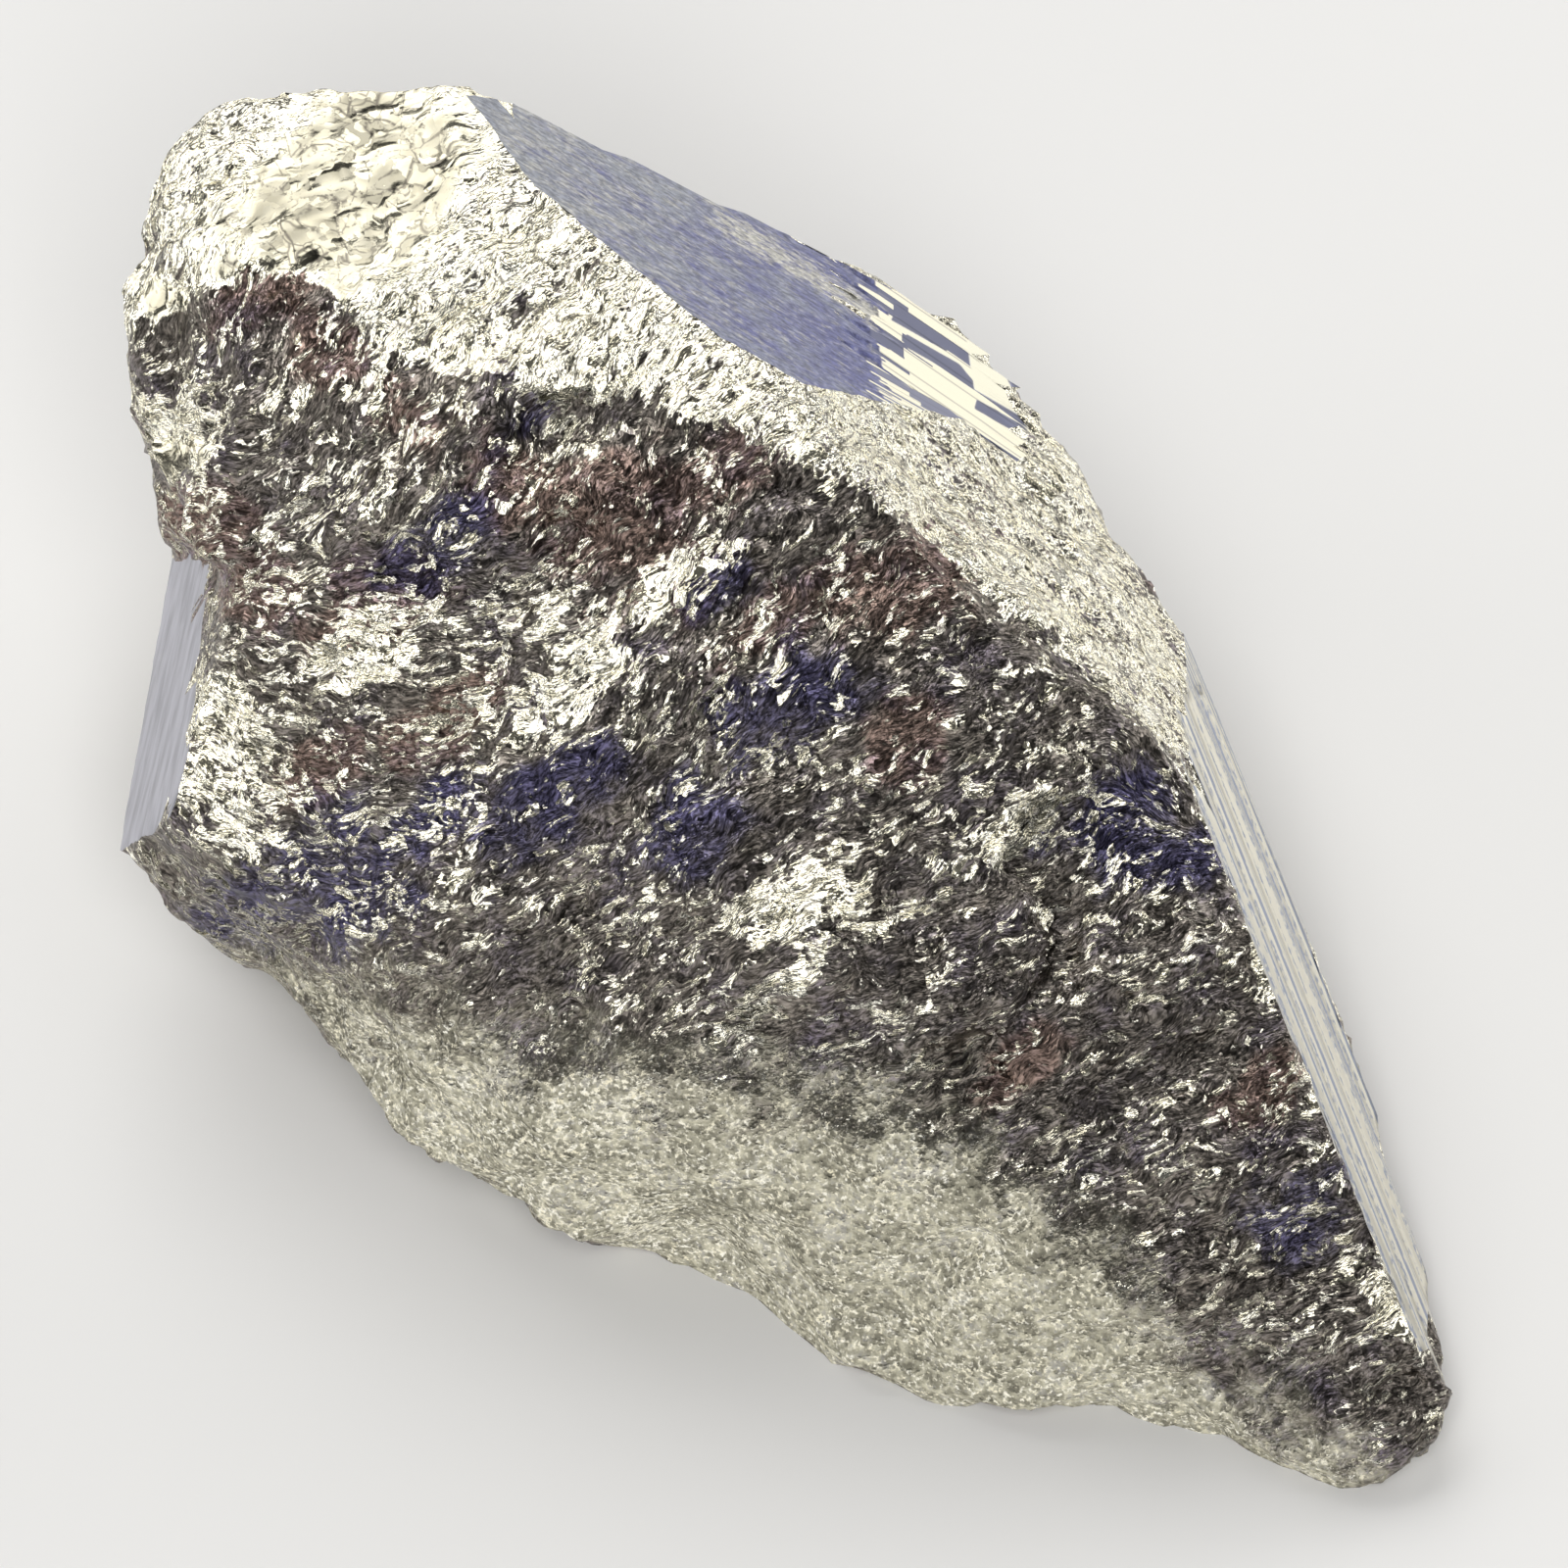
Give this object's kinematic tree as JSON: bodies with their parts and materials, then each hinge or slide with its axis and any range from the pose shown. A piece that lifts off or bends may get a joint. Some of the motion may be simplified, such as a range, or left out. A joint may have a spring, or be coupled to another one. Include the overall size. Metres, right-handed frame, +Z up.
{
  "type": "pyrite crystal fragment",
  "caption": "Broken lump of pyrite with a broad hackly fracture face and smooth, striated growth faces, lying on a flat face.",
  "frame": {"origin": "middle of the box around the lump, on the surface it lies on", "axes": "+Z up, +X to the right of the broad broken face, which looks up and towards -Y"},
  "size_m": [0.055, 0.0506, 0.0314],
  "materials": {
    "pyrite": "metallic lustre: pale brass on the break with brown and indigo tarnish, violet-grey satin on the growth faces"
  },
  "bodies": {
    "root": {"pyrite": "pyrite"}
  },
  "joints": []
}
